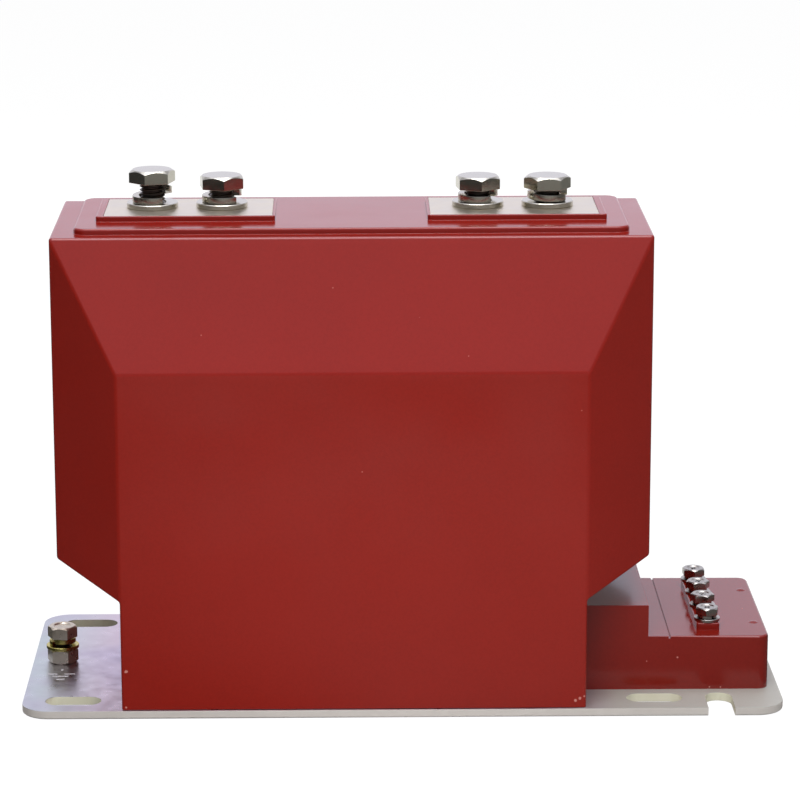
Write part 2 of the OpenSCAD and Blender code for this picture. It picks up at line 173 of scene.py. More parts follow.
# Edges are told apart by how far the surface turns at them, in radians
ANY_TURN = 0.1
STEEP_TURN = 1
SQUARE_TURN = 1.2
HEX_TURN = radians(20)
FLAT_TURN = radians(0.5)

# Distances within which two places are near or the same, and within which doubled corners are merged, in
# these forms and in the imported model's
NEAR = 0.1
SAME = 0.01
MERGED = 0.001
PACKED_MERGED = 0.002

# Sockets of a Mix node by number: factor, its two numbers and two colours, and the colour that comes out
FACTOR, NUMBER_A, NUMBER_B, COLOUR_A, COLOUR_B, MIXED = 0, 2, 3, 6, 7, 2

# Small chips and grains seen on the casting: place and radius
RESIN_CHIPS = (
    (-127.3, -74, 22.7, 0.8),
    (-127.6, -74, 5.4, 0.5),
    (79.5, -74, 7.6, 0.7),
    (81.5, -74, 8.6, 0.7),
    (83.6, -74, 9.6, 0.5),
    (128.8, -47.8, 19.6, 0.45),
    (114.4, -47.8, 17.8, 0.3),
    (144, -47.8, 5, 0.35),
    (149.2, -47.8, 4.9, 0.4),
)

# Where the plate's film turns from blue-green to lilac at its left, and to matt and whitish at its right
LILAC_X = (-172, -138)
WHITISH_X = (60, 100)

# Dots and bars of the earth sign: place, length and width
EARTH_SIGN = (
    (-161.8, -14, 1.2, 2.2),
    (-165.8, -20.2, 4.4, 1.5),
    (-157.8, -20.2, 5.2, 1.5),
    (-162, -23.7, 7.6, 1.5),
    (-161.6, -28.3, 3.8, 1.6),
)


def hex_colour(code):
    """Linear RGBA of an sRGB colour written as six hex digits."""
    channels = [int(code[i : i + 2], 16) / 255 for i in (0, 2, 4)]
    return [c / 12.92 if c <= 0.04045 else ((c + 0.055) / 1.055) ** 2.4 for c in channels] + [1]


def add(owner, kind, inputs=None, **settings):
    """Adds a shader node. Settings are its own fields, inputs its sockets' values or what feeds them."""
    tree = owner.node_tree
    made = tree.nodes.new(kind)
    for name, value in settings.items():
        setattr(made, name, value)
    for key, value in (inputs or {}).items():
        if isinstance(value, bpy.types.NodeSocket):
            tree.links.new(value, made.inputs[key])
        else:
            made.inputs[key].default_value = value
    return made


def new_material(name):
    """Empty material, with the object's own coordinates in metres."""
    material = bpy.data.materials.new(name)
    material.use_nodes = True
    material.node_tree.nodes.clear()
    place = add(material, "ShaderNodeTexCoord").outputs["Object"]
    return material, place


def finish_material(material, colour, roughness, normal=None, metallic=0.0):
    """Closes a material with the main shader, whose constants go straight on its own sockets."""
    inputs = {"Base Color": colour, "Roughness": roughness, "Metallic": metallic}
    if normal is not None:
        inputs["Normal"] = normal
    shader = add(material, "ShaderNodeBsdfPrincipled", inputs)
    add(material, "ShaderNodeOutputMaterial", {"Surface": shader.outputs["BSDF"]})
    return material


def spots(material, place, marks):
    """Factor that is 1 inside round marks with ragged edges, each given as its centre and radius."""
    ragged = add(
        material, "ShaderNodeTexNoise", {"Vector": place, "Scale": 1 / (0.9 * MM), "Detail": 2.0}
    )
    total = None
    for x, y, z, radius in marks:
        away = add(
            material, "ShaderNodeVectorMath", {0: place, 1: (x * MM, y * MM, z * MM)},
            operation="DISTANCE",
        )
        torn = add(
            material, "ShaderNodeMath",
            {0: ragged.outputs["Fac"], 1: radius * MM, 2: away.outputs["Value"]},
            operation="MULTIPLY_ADD",
        )
        inside = add(
            material, "ShaderNodeMapRange",
            {"Value": torn.outputs[0], "From Min": 1.6 * radius * MM, "From Max": 1.2 * radius * MM},
        ).outputs["Result"]
        if total is not None:
            inside = add(
                material, "ShaderNodeMath", {0: total, 1: inside}, operation="MAXIMUM"
            ).outputs[0]
        total = inside
    return total


def cast_epoxy():
    """Epoxy resin filled with quartz flour and red pigment, cast in a polished steel mould.

    It gives an even deep red with a hardly visible cloudiness, a darker red of painted shade on the low
    secondary end, a few pale quartz grains, a satin gloss that mirrors the surroundings at a flat angle, and
    a slight waviness.
    """
    material, place = new_material("cast_epoxy")
    cloud = add(
        material, "ShaderNodeTexNoise", {"Vector": place, "Scale": 1 / (45 * MM), "Detail": 3.0}
    )
    tone = add(
        material, "ShaderNodeMix",
        {FACTOR: cloud.outputs["Fac"], COLOUR_A: hex_colour("8b1c12"), COLOUR_B: hex_colour("921f15")},
        data_type="RGBA",
    )
    parts = add(material, "ShaderNodeSeparateXYZ", {"Vector": place})
    # Painted shade: the neck and the deck, right of the core block and below the neck's top, are mixed to a
    # darker red.
    block_end = BODY_X + BLOCK[0] / 2
    beyond = add(
        material, "ShaderNodeMapRange",
        {
            "Value": parts.outputs["X"],
            "From Min": (block_end + 0.1) * MM, "From Max": (block_end + 2.1) * MM,
        },
    )
    below = add(
        material, "ShaderNodeMapRange",
        {"Value": parts.outputs["Z"], "From Min": (NECK_TOP + 5) * MM, "From Max": (NECK_TOP + 2) * MM},
    )
    painted_shade_mask = add(
        material, "ShaderNodeMath", {0: beyond.outputs["Result"], 1: below.outputs["Result"]},
        operation="MULTIPLY",
    )
    painted_shade = add(
        material, "ShaderNodeMix",
        {FACTOR: painted_shade_mask.outputs[0], COLOUR_A: tone.outputs[MIXED], COLOUR_B: hex_colour("7f1a11")},
        data_type="RGBA",
    )
    flour = add(
        material, "ShaderNodeTexNoise", {"Vector": place, "Scale": 1 / (1.1 * MM), "Detail": 1.0}
    )
    grey = add(
        material, "ShaderNodeMapRange",
        {
            "Value": flour.outputs["Fac"],
            "From Min": 0.3, "From Max": 0.7, "To Min": 0.96, "To Max": 1.04,
        },
    )
    fine = add(
        material, "ShaderNodeMix",
        {FACTOR: 1.0, COLOUR_A: painted_shade.outputs[MIXED], COLOUR_B: grey.outputs["Result"]},
        data_type="RGBA", blend_type="MULTIPLY",
    )
    grain = add(material, "ShaderNodeTexVoronoi", {"Vector": place, "Scale": 1 / (17 * MM)})
    grain_size = add(
        material, "ShaderNodeMapRange",
        {"Value": grain.outputs["Distance"], "From Min": 0.024, "From Max": 0.012},
    )
    grains = add(
        material, "ShaderNodeMix",
        {
            FACTOR: grain_size.outputs["Result"],
            COLOUR_A: fine.outputs[MIXED], COLOUR_B: hex_colour("b8695c"),
        },
        data_type="RGBA",
    )
    chips = spots(material, place, RESIN_CHIPS)
    colour = add(
        material, "ShaderNodeMix",
        {FACTOR: chips, COLOUR_A: grains.outputs[MIXED], COLOUR_B: hex_colour("c9867c")},
        data_type="RGBA",
    )
    matt = add(
        material, "ShaderNodeTexNoise", {"Vector": place, "Scale": 1 / (30 * MM), "Detail": 4.0}
    )
    roughness = add(
        material, "ShaderNodeMapRange",
        {
            "Value": matt.outputs["Fac"],
            "From Min": 0.3, "From Max": 0.7, "To Min": 0.13, "To Max": 0.19,
        },
    )
    waviness = add(
        material, "ShaderNodeTexNoise", {"Vector": place, "Scale": 1 / (14 * MM), "Detail": 1.0}
    )
    wavy = add(
        material, "ShaderNodeBump", {"Height": waviness.outputs["Fac"], "Distance": 0.025 * MM}
    )
    skin = add(
        material, "ShaderNodeBump",
        {"Height": flour.outputs["Fac"], "Distance": 0.004 * MM, "Normal": wavy.outputs["Normal"]},
    )
    return finish_material(
        material, colour.outputs[MIXED], roughness.outputs["Result"], skin.outputs["Normal"]
    )


def zinc_plating():
    """Sheet steel, electroplated with zinc and passivated blue.

    It gives a satin grey metal whose thin passive film shimmers pale blue-green at the left margin, lilac
    further in and violet in patches, turns whitish and matt at the right end, and has fine scratches along
    the plate.
    """
    material, place = new_material("zinc_plating")
    parts = add(material, "ShaderNodeSeparateXYZ", {"Vector": place})
    inwards = add(
        material, "ShaderNodeMapRange",
        {"Value": parts.outputs["X"], "From Min": LILAC_X[0] * MM, "From Max": LILAC_X[1] * MM},
    )
    across = add(
        material, "ShaderNodeMix",
        {
            FACTOR: inwards.outputs["Result"],
            COLOUR_A: hex_colour("c0c9c8"), COLOUR_B: hex_colour("d3c1cb"),
        },
        data_type="RGBA",
    )
    film = add(
        material, "ShaderNodeTexNoise", {"Vector": place, "Scale": 1 / (55 * MM), "Detail": 2.0}
    )
    violet = add(
        material, "ShaderNodeMapRange",
        {
            "Value": film.outputs["Fac"],
            "From Min": 0.45, "From Max": 0.7, "To Min": 0.0, "To Max": 0.9,
        },
    )
    patches = add(
        material, "ShaderNodeMix",
        {
            FACTOR: violet.outputs["Result"],
            COLOUR_A: across.outputs[MIXED], COLOUR_B: hex_colour("bdb0c4"),
        },
        data_type="RGBA",
    )
    whitish = add(
        material, "ShaderNodeMapRange",
        {"Value": parts.outputs["X"], "From Min": WHITISH_X[0] * MM, "From Max": WHITISH_X[1] * MM},
    )
    tinted = add(
        material, "ShaderNodeMix",
        {
            FACTOR: whitish.outputs["Result"],
            COLOUR_A: patches.outputs[MIXED], COLOUR_B: hex_colour("b6b5ad"),
        },
        data_type="RGBA",
    )
    metal = add(
        material, "ShaderNodeMapRange",
        {"Value": whitish.outputs["Result"], "To Min": 1.0, "To Max": 0.3},
    )
    cloud = add(
        material, "ShaderNodeTexNoise", {"Vector": place, "Scale": 1 / (6 * MM), "Detail": 4.0}
    )
    satin = add(
        material, "ShaderNodeMapRange",
        {
            "Value": cloud.outputs["Fac"],
            "From Min": 0.3, "From Max": 0.7, "To Min": 0.26, "To Max": 0.4,
        },
    )
    roughness = add(
        material, "ShaderNodeMath",
        {0: whitish.outputs["Result"], 1: 0.25, 2: satin.outputs["Result"]},
        operation="MULTIPLY_ADD",
    )
    along = add(
        material, "ShaderNodeMapping",
        {"Vector": place, "Scale": (1 / (30 * MM), 1 / (0.5 * MM), 1 / (1 * MM))},
    )
    scratches = add(
        material, "ShaderNodeTexNoise", {"Vector": along.outputs["Vector"], "Scale": 1.0}
    )
    scratched = add(
        material, "ShaderNodeBump", {"Height": scratches.outputs["Fac"], "Distance": 0.004 * MM}
    )
    return finish_material(
        material, tinted.outputs[MIXED], roughness.outputs[0], scratched.outputs["Normal"],
        metal.outputs["Result"],
    )


def speckled_metal(name, dark, light, grain, smooth, matt, metallic=1.0):
    """Metal whose finish wanders between two tones and two roughnesses over a grain in millimetres."""
    material, place = new_material(name)
    noise = add(
        material, "ShaderNodeTexNoise", {"Vector": place, "Scale": 1 / (grain * MM), "Detail": 4.0}
    )
    tone = add(
        material, "ShaderNodeMix",
        {FACTOR: noise.outputs["Fac"], COLOUR_A: hex_colour(dark), COLOUR_B: hex_colour(light)},
        data_type="RGBA",
    )
    roughness = add(
        material, "ShaderNodeMapRange",
        {
            "Value": noise.outputs["Fac"],
            "From Min": 0.35, "From Max": 0.65, "To Min": smooth, "To Max": matt,
        },
    )
    fine = add(
        material, "ShaderNodeTexNoise", {"Vector": place, "Scale": 1 / (0.4 * MM), "Detail": 2.0}
    )
    rough = add(material, "ShaderNodeBump", {"Height": fine.outputs["Fac"], "Distance": 0.003 * MM})
    return finish_material(
        material, tone.outputs[MIXED], roughness.outputs["Result"], rough.outputs["Normal"], metallic
    )


def printed_paint():
    """Screen-printed white paint of the earth sign, thin and a little worn, so that it looks uneven."""
    material, place = new_material("printed_paint")
    worn = add(
        material, "ShaderNodeTexNoise", {"Vector": place, "Scale": 1 / (0.8 * MM), "Detail": 2.0}
    )
    tone = add(
        material, "ShaderNodeMix",
        {FACTOR: worn.outputs["Fac"], COLOUR_A: hex_colour("dcdce4"), COLOUR_B: hex_colour("f4f4f6")},
        data_type="RGBA",
    )
    return finish_material(material, tone.outputs[MIXED], 0.5)


EPOXY = cast_epoxy()
ZINC = zinc_plating()
# Punched walls of the slots and notches: torn and matt, with a thick yellowish film where the bath stayed
CUT_WALL = speckled_metal("zinc_punched_wall", "e2dfc6", "ebe9d4", 5, 0.45, 0.6, metallic=0.1)
# Sheared rim of the plate: torn, matt and greyish white under its zinc
SHEARED_RIM = speckled_metal("zinc_sheared_rim", "d9d2ca", "e2dcd5", 5, 0.45, 0.6, metallic=0.2)
# Tin, electroplated on copper: warm white, satin, a little blotchy
TIN = speckled_metal("tin_plating", "d8cfbf", "e2d9c8", 8, 0.3, 0.42)
# Steel bolts, zinc plated and passivated: warm light grey with soft mirror facets
BOLT_STEEL = speckled_metal("bright_plated_steel", "bcb8a8", "cbc7b8", 4, 0.14, 0.22)
# Rolled threads of the same bolts, in dark tones that are painted shade for the narrow gaps under the heads
SHADED_THREAD = speckled_metal("thread_steel_painted_shade", "5c5650", "78716a", 1, 0.3, 0.45)
# Smaller steel screws and washers of the deck: greyer and duller
SCREW_STEEL = speckled_metal("dull_plated_steel", "a5a199", "b3afa6", 3, 0.2, 0.32)
# Yellow chromate over zinc: straw and olive on the earth terminal's washers
YELLOW_ZINC = speckled_metal("yellow_chromate", "b9ad58", "cfc478", 3, 0.2, 0.32)
# The same chromate worn off the earth screw and its nut: greyish beige
WORN_CHROMATE = speckled_metal("worn_chromate", "c8bca6", "d6cbb8", 3, 0.25, 0.4, metallic=0.82)
# Drawn copper bar and winding wire: warm and satin
COPPER = speckled_metal("drawn_copper", "b87a5a", "cf9070", 6, 0.25, 0.4)
# Wound strip of silicon steel: dull under its grey insulation
CORE_STEEL = speckled_metal("silicon_steel_strip", "6d6f73", "84868a", 2, 0.4, 0.55)
# Turned brass inserts: yellow and bright
BRASS = speckled_metal("turned_brass", "b79a55", "cdb26c", 3, 0.2, 0.3)
PAINT = printed_paint()

# Finishes of the inner nodes and the base screws, by a word in their names
INNER_FINISHES = {
    "conductor": COPPER, "winding": COPPER, "core": CORE_STEEL, "insert": BRASS, "base_screw": BOLT_STEEL,
}


def node_box(node):
    """Two corners of a CAD node's box, in millimetres."""
    return [Vector(corner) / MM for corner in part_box(node)]


def centre(node):
    """Middle of a CAD node's box in plan, and its lowest and highest z, all in millimetres."""
    low, high = node_box(node)
    middle = (low + high) / 2
    return middle.x, middle.y, low.z, high.z


def turning(edge):
    """Angle that the surface turns by at an edge."""
    return edge.calc_face_angle(0.0)


def both_ends(edge, test):
    """Whether the places of both ends of an edge pass a test."""
    return all(test(v.co) for v in edge.verts)


def upright(edge):
    """Whether an edge rises from one end to the other."""
    return abs(edge.verts[0].co.z - edge.verts[1].co.z) > NEAR


def bevel(bm, edges, width, segments):
    """Rounds edges, set back by the width on each side."""
    bmesh.ops.bevel(
        bm, geom=list(edges), offset=width, offset_type="OFFSET", segments=segments, profile=0.5,
        affect="EDGES", clamp_overlap=True, material=-1,
    )


def rotate_form(bm, degrees):
    """Turns a form round Z."""
    turn = Matrix.Rotation(radians(degrees), 3, "Z")
    bmesh.ops.rotate(bm, cent=(0, 0, 0), matrix=turn, verts=bm.verts)


def box_form(low, high):
    """Box between two corners, in millimetres until the piece is made."""
    bm = bmesh.new()
    bmesh.ops.create_cube(bm, size=1)
    low, high = Vector(low), Vector(high)
    bmesh.ops.scale(bm, vec=high - low, verts=bm.verts)
    bmesh.ops.translate(bm, vec=(low + high) / 2, verts=bm.verts)
    return bm


def outline_form(outline, depth):
    """Solid whose front view is the outline in X and Z, as deep as given along Y."""
    bm = bmesh.new()
    face = bm.faces.new([bm.verts.new((x, -depth / 2, z)) for x, z in outline])
    pushed = bmesh.ops.extrude_face_region(bm, geom=[face])["geom"]
    corners = [v for v in pushed if isinstance(v, bmesh.types.BMVert)]
    bmesh.ops.translate(bm, vec=(0, depth, 0), verts=corners)
    bmesh.ops.recalc_face_normals(bm, faces=bm.faces)
    return bm


def cut(bm, point, normal):
    """Cuts away what lies beyond a plane and closes the cut."""
    bmesh.ops.bisect_plane(
        bm, geom=bm.verts[:] + bm.edges[:] + bm.faces[:], dist=MERGED / 10, plane_co=point,
        plane_no=normal, clear_outer=True,
    )
    bmesh.ops.holes_fill(bm, edges=[e for e in bm.edges if e.is_boundary])


def cast_block(length, width, top, bottom, place, corner, edge):
    """Block with round upright corners and round top edges, sunk into what carries it."""
    x, y = place
    bm = box_form((x - length / 2, y - width / 2, bottom), (x + length / 2, y + width / 2, top))
    bevel(bm, [e for e in bm.edges if upright(e)], corner, segments=6)
    bevel(bm, [e for e in bm.edges if both_ends(e, lambda end: end.z > top - NEAR)], edge, segments=3)
    return bm


def lathe(bm, profile, steps):
    """Turns a profile of radius and height round Z. One that starts and ends on the axis closes itself."""
    verts = [bm.verts.new((r, 0, z)) for r, z in profile]
    edges = [bm.edges.new(pair) for pair in zip(verts, verts[1:])]
    bmesh.ops.spin(
        bm, geom=verts + edges, axis=(0, 0, 1), cent=(0, 0, 0), angle=2 * pi, steps=steps, use_merge=True,
    )
    bmesh.ops.remove_doubles(bm, verts=bm.verts, dist=MERGED)
    bmesh.ops.recalc_face_normals(bm, faces=bm.faces)


def main_casting():
    """Core block with the wide head over it: front outline, then the slopes and the cheeks cut off."""
    block, head = BLOCK[0] / 2, HEAD[0] / 2
    outline = [
        (BODY_X - block, PLATE_TOP), (BODY_X + block, PLATE_TOP), (BODY_X + block, OVERHANG_ROOT_Z),
        (BODY_X + head, OVERHANG_END_Z), (BODY_X + head, HEAD_TOP), (BODY_X - head, HEAD_TOP),
        (BODY_X - head, OVERHANG_END_Z), (BODY_X - block, OVERHANG_ROOT_Z),
    ]
    bm = outline_form(outline, BLOCK[1])
    setback = (BLOCK[1] - HEAD[1]) / 2
    for back in (-1, 1):
        corner = Vector((BODY_X, back * BLOCK[1] / 2, SHOULDER_Z))
        cut(bm, corner, Vector((0, back * (HEAD_TOP - SHOULDER_Z), setback)))
        for side in (-1, 1):
            corner = Vector((BODY_X + side * block, back * BLOCK[1] / 2, SHOULDER_Z))
            cut(bm, corner, Vector((side * setback, back * (head - block), 0)))
    bmesh.ops.remove_doubles(bm, verts=bm.verts, dist=SAME)
    bmesh.ops.dissolve_limit(bm, angle_limit=FLAT_TURN, verts=bm.verts, edges=bm.edges)
    bmesh.ops.recalc_face_normals(bm, faces=bm.faces)

    def on_foot(end):
        return end.z < PLATE_TOP + NEAR

    above = [e for e in bm.edges if turning(e) > ANY_TURN and not both_ends(e, on_foot)]
    bevel(bm, above, MOULD_EDGE, segments=4)
    foot = [e for e in bm.edges if turning(e) > STEEP_TURN and both_ends(e, on_foot)]
    bevel(bm, foot, FOOT_EDGE, segments=2)
    return bm


def secondary_casting():
    """Neck beside the core block and the lower deck beyond it, as one form."""
    root = BODY_X + BLOCK[0] / 2 - SUNK
    outline = [
        (root, PLATE_TOP), (DECK_END, PLATE_TOP), (DECK_END, DECK_TOP), (NECK_END, DECK_TOP),
        (NECK_END, NECK_TOP), (root, NECK_TOP),
    ]
    bm = outline_form(outline, DECK_WIDTH)
    corners = [e for e in bm.edges if upright(e) and both_ends(e, lambda end: end.x > DECK_END - NEAR)]
    bevel(bm, corners, DECK_CORNER, segments=8)
    neck = [e for e in bm.edges if both_ends(e, lambda end: end.z > NECK_TOP - NEAR)]
    bevel(bm, neck, NECK_EDGE, segments=2)
    outer = [e for e in bm.edges if turning(e) > ANY_TURN and e.is_convex]
    deck = [e for e in outer if both_ends(e, lambda end: abs(end.z - DECK_TOP) < NEAR)]
    bevel(bm, deck, MOULD_EDGE, segments=4)
    return bm


def cover_pip(x, y):
    """Low dome that a terminal cover snaps over."""
    bm = bmesh.new()
    radius = PIP_WIDTH / 2
    ball = (radius**2 + PIP_HEIGHT**2) / (2 * PIP_HEIGHT)
    turns = [i / PIP_RINGS * atan2(radius, ball - PIP_HEIGHT) for i in range(PIP_RINGS + 1)]
    profile = [(ball * tan(t) * cos(t), ball * cos(t) - ball + PIP_HEIGHT) for t in turns]
    lathe(bm, profile + [(radius, -PIP_ROOT), (0, -PIP_ROOT)], PIP_STEPS)
    bmesh.ops.translate(bm, vec=(x, y, DECK_TOP + PIP_RISE), verts=bm.verts)
    return bm


def form_mesh(bm):
    """Mesh in metres of a form in millimetres."""
    bmesh.ops.scale(bm, vec=(MM, MM, MM), verts=bm.verts)
    mesh = bpy.data.meshes.new("form")
    bm.to_mesh(mesh)
    bm.free()
    return mesh


def loose_object(bm):
    """Object for a form, in metres, until it is joined or cut out."""
    made = bpy.data.objects.new("loose", form_mesh(bm))
    bpy.context.scene.collection.objects.link(made)
    return made


def worked(base, joined=(), removed=()):
    """Base form with other forms joined to it and the last ones cut out, as one closed mesh in metres."""
    solid = loose_object(base)
    tools = []
    for operation, forms in (("UNION", joined), ("DIFFERENCE", removed)):
        for form in forms:
            tools.append(loose_object(form))
            step = solid.modifiers.new(operation, "BOOLEAN")
            step.operation = operation
            step.solver = "EXACT"
            step.object = tools[-1]
    mesh = bpy.data.meshes.new_from_object(solid.evaluated_get(bpy.context.evaluated_depsgraph_get()))
    for made in [solid, *tools]:
        bpy.data.objects.remove(made)
    return mesh


def mesh_form(mesh, merged):
    """Form in millimetres of a mesh in metres, its doubled corners merged."""
    bm = bmesh.new()
    bm.from_mesh(mesh)
    bmesh.ops.scale(bm, vec=(1 / MM, 1 / MM, 1 / MM), verts=bm.verts)
    bmesh.ops.remove_doubles(bm, verts=bm.verts, dist=merged)
    return bm


def node_form(node):
    """A CAD node's own shape in millimetres, its loose triangles merged into whole faces."""
    bm = mesh_form(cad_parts[node].data, PACKED_MERGED)
    bmesh.ops.dissolve_limit(bm, angle_limit=FLAT_TURN, verts=bm.verts, edges=bm.edges)
    return bm


def fill_corners(mesh, corners):
    """Rounds the inner corners at the foot of raised forms; each corner is its height and radius."""
    bm = mesh_form(mesh, MERGED)
    for z, radius in corners:
        inner = [e for e in bm.edges if turning(e) > SQUARE_TURN and not e.is_convex]
        bevel(bm, [e for e in inner if both_ends(e, lambda end: abs(end.z - z) < SAME)], radius, segments=3)
    bpy.data.meshes.remove(mesh)
    return form_mesh(bm)


def piece(name, mesh, materials, replaced=(), sharp=35):
    """Makes a piece: smooth with sharp corners and its finishes, with the nodes it stands for hidden."""
    mesh.name = name
    for material in materials:
        mesh.materials.append(material)
    mesh.shade_smooth()
    mesh.set_sharp_from_angle(angle=radians(sharp))
    made = bpy.data.objects.new(name, mesh)
    bpy.context.scene.collection.objects.link(made)
    even = made.modifiers.new("even_faces", "WEIGHTED_NORMAL")
    even.keep_sharp = True
    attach(made, "root")
    if replaced:
        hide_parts(*replaced)


def make_body():
    """The casting with its plateau, terminal pads, secondary deck, rib and pips."""
    length, width, height = PLATEAU
    plateau_top = HEAD_TOP + height
    joined = [
        cast_block(
            length, width, plateau_top, HEAD_TOP - SUNK, (BODY_X, 0), PLATEAU_CORNER, MOULD_EDGE,
        )
    ]
    pockets = []
    for node, side in (("primary_terminal_p1", -1), ("primary_terminal_p2", 1)):
        low, high = node_box(node)
        size = high - low
        middle = (low + high) / 2
        place = (middle.x + side * (PAD_OUTER_RIM - PAD_RIM) / 2, middle.y)
        joined.append(
            cast_block(
                size.x + PAD_OUTER_RIM + PAD_RIM, size.y + 2 * PAD_RIM, plateau_top + PAD_HEIGHT,
                HEAD_TOP - SUNK / 2, place, PAD_CORNER, PAD_EDGE,
            )
        )
        pockets.append(
            box_form((low.x, low.y, high.z - TERMINAL_THICKNESS), (high.x, high.y, high.z + PROUD))
        )
    joined.append(secondary_casting())
    length, width, height = RIB
    joined.append(
        cast_block(
            length, width, DECK_TOP + height, DECK_TOP - SUNK, (RIB_X, 0), RIB_CORNER, RIB_EDGE,
        )
    )
    joined.extend(cover_pip(x, y) for x, y in PIP_PLACES)
    pockets.append(
        box_form(
            (GROOVE_X - GROOVE / 2, -DECK_WIDTH, DECK_TOP - GROOVE),
            (GROOVE_X + GROOVE / 2, DECK_WIDTH, DECK_TOP + PROUD),
        )
    )
    corners = ((HEAD_TOP, FOOT_FILLET), (plateau_top, FOOT_FILLET), (DECK_TOP, DECK_FILLET))
    mesh = fill_corners(worked(main_casting(), joined, pockets), corners)
    piece("cast_body", mesh, [EPOXY], ["resin_body"])


def make_plate():
    """Mounting plate: upper edges barely broken, lower rim rolled over by the shears.

    The sheared rim and the walls of the slots and notches have finishes of their own.
    """
    bm = node_form("base_plate")
    high = node_box("base_plate")[1]

    def on_rim(place):
        beyond_x = max(abs(place.x) - high.x + PLATE_CORNER, 0)
        beyond_y = max(abs(place.y) - high.y + PLATE_CORNER, 0)
        return hypot(beyond_x, beyond_y) > PLATE_CORNER - RIM_DEPTH

    sharp = [e for e in bm.edges if turning(e) > STEEP_TURN]
    rolled = [e for e in sharp if both_ends(e, lambda end: end.z < NEAR and on_rim(end))]
    bevel(bm, rolled, PLATE_ROLLOVER, segments=3)
    bevel(bm, [e for e in bm.edges if turning(e) > STEEP_TURN], PLATE_EDGE, segments=2)
    for face in bm.faces:
        if abs(face.normal.z) < WALL_NORMAL_Z:
            outside = on_rim(face.calc_center_median())
            face.material_index = SHEARED_RIM_PLACE if outside else CUT_WALL_PLACE
    piece("mounting_plate", form_mesh(bm), [ZINC, CUT_WALL, SHEARED_RIM], ["base_plate"])


def make_terminal(node):
    """Tinned copper terminal with lightly broken edges round its face."""
    bm = node_form(node)
    low, high = node_box(node)

    def on_rim(end):
        beside = min(end.x - low.x, high.x - end.x, end.y - low.y, high.y - end.y)
        return beside < NEAR and end.z > high.z - NEAR

    rim = [e for e in bm.edges if turning(e) > STEEP_TURN and both_ends(e, on_rim)]
    bevel(bm, rim, TERMINAL_EDGE, segments=3)
    piece(f"{node}_plated", form_mesh(bm), [TIN], [node])


def hex_head(flats, height, turn, dent=None, hole=0):
    """Hexagon head or nut standing on z = 0: a turned blank, then its sides pressed in to the hexagon.

    dent is the radius and depth of the round hollow in a head's top. hole is the radius of a nut's hole,
    and a nut is chamfered at both ends.
    """
    bm = bmesh.new()
    top_radius = flats / 2 * HEX_TOP_SHARE
    outer = flats / 2 / cos(pi / 6) + NEAR
    side = [(top_radius, height), (outer, height), (outer, height / 2), (outer, 0)]
    if hole:
        mouth = hole + HOLE_CHAMFER
        inlet = (hole, height - HOLE_CHAMFER)
        profile = [inlet, (mouth, height), *side, (top_radius, 0), (mouth, 0), (hole, HOLE_CHAMFER), inlet]
    elif dent:
        radius, depth = dent
        profile = [(0, height - depth), (radius - depth, height - depth), (radius, height), *side, (0, 0)]
    else:
        profile = [(0, height), *side, (0, 0)]
    lathe(bm, profile, HEX_STEPS)
    for v in bm.verts:
        radius = hypot(v.co.x, v.co.y)
        if radius < top_radius + SAME:
            continue
        across = (atan2(v.co.y, v.co.x) + pi / 6) % (pi / 3) - pi / 6
        limit = flats / 2 / cos(pi / 6 - abs(across))
        v.co.x *= limit / radius
        v.co.y *= limit / radius
        fall = (limit - top_radius) * tan(HEX_CHAMFER)
        v.co.z = min(v.co.z, height - fall)
        if hole:
            v.co.z = max(v.co.z, fall)
    bevel(bm, [e for e in bm.edges if turning(e) > HEX_TURN], HEX_EDGE, segments=2)
    rotate_form(bm, turn)
    return bm


def thread(bm, diameter, pitch, low, high):
    """Adds a right-hand screw thread between two heights, its ends cut square and closed."""
    turns = int((high - low) / pitch) + THREAD_SPARE
    outer, inner = diameter / 2, diameter / 2 - THREAD_DEPTH * pitch
    part = bmesh.new()
    tooth = ((outer, 0), (outer, pitch / 8), (inner, pitch / 2), (inner, pitch * 5 / 8), (outer, pitch))
    verts = [part.verts.new((r, 0, low - THREAD_SPARE / 2 * pitch + z)) for r, z in tooth]
    edges = [part.edges.new(pair) for pair in zip(verts, verts[1:])]
    bmesh.ops.spin(
        part, geom=verts + edges, axis=(0, 0, 1), cent=(0, 0, 0), dvec=(0, 0, pitch / THREAD_STEPS),
        angle=2 * pi * turns, steps=THREAD_STEPS * turns,
    )
    bmesh.ops.remove_doubles(part, verts=part.verts, dist=SAME)
    cut(part, (0, 0, low), (0, 0, -1))
    cut(part, (0, 0, high), (0, 0, 1))
    bmesh.ops.recalc_face_normals(part, faces=part.faces)
    for face in part.faces:
        face.material_index = THREAD_PLACE
    mesh = bpy.data.meshes.new("thread")
    part.to_mesh(mesh)
    part.free()
    bm.from_mesh(mesh)
    bpy.data.meshes.remove(mesh)


def cross_recess(place, turn, width, reach, depth):
    """Two arms of a cross recess that narrow towards their floor, to be cut out at a place."""
    arms = []
    for quarter in (0, 90):
        arm = box_form((-reach / 2, -width / 2, -depth), (reach / 2, width / 2, PROUD))
        for v in arm.verts:
            if v.co.z < 0:
                v.co.x *= CROSS_FLOOR_SHARE
        rotate_form(arm, turn + CROSS_TURN + quarter)
        bmesh.ops.translate(arm, vec=place, verts=arm.verts)
        arms.append(arm)
    return arms


def make_screw(
    node, name, turn, material, slot, *, flats, head_height, size, pitch, dent=None, cross=None
):
    """Hexagon screw in place of its node: head, thread, and a cross recess where it has one."""
    x, y, low, high = centre(node)
    head = hex_head(flats, head_height, turn, dent)
    thread(head, size - THREAD_PLAY, pitch, low - high + head_height, THREAD_IN_HEAD)
    bmesh.ops.translate(head, vec=(x, y, high - head_height), verts=head.verts)
    recess = cross_recess((x, y, high - dent[1]), turn, *cross) if cross else []
    piece(name, worked(head, removed=recess), [material, SHADED_THREAD], [node], sharp=25)


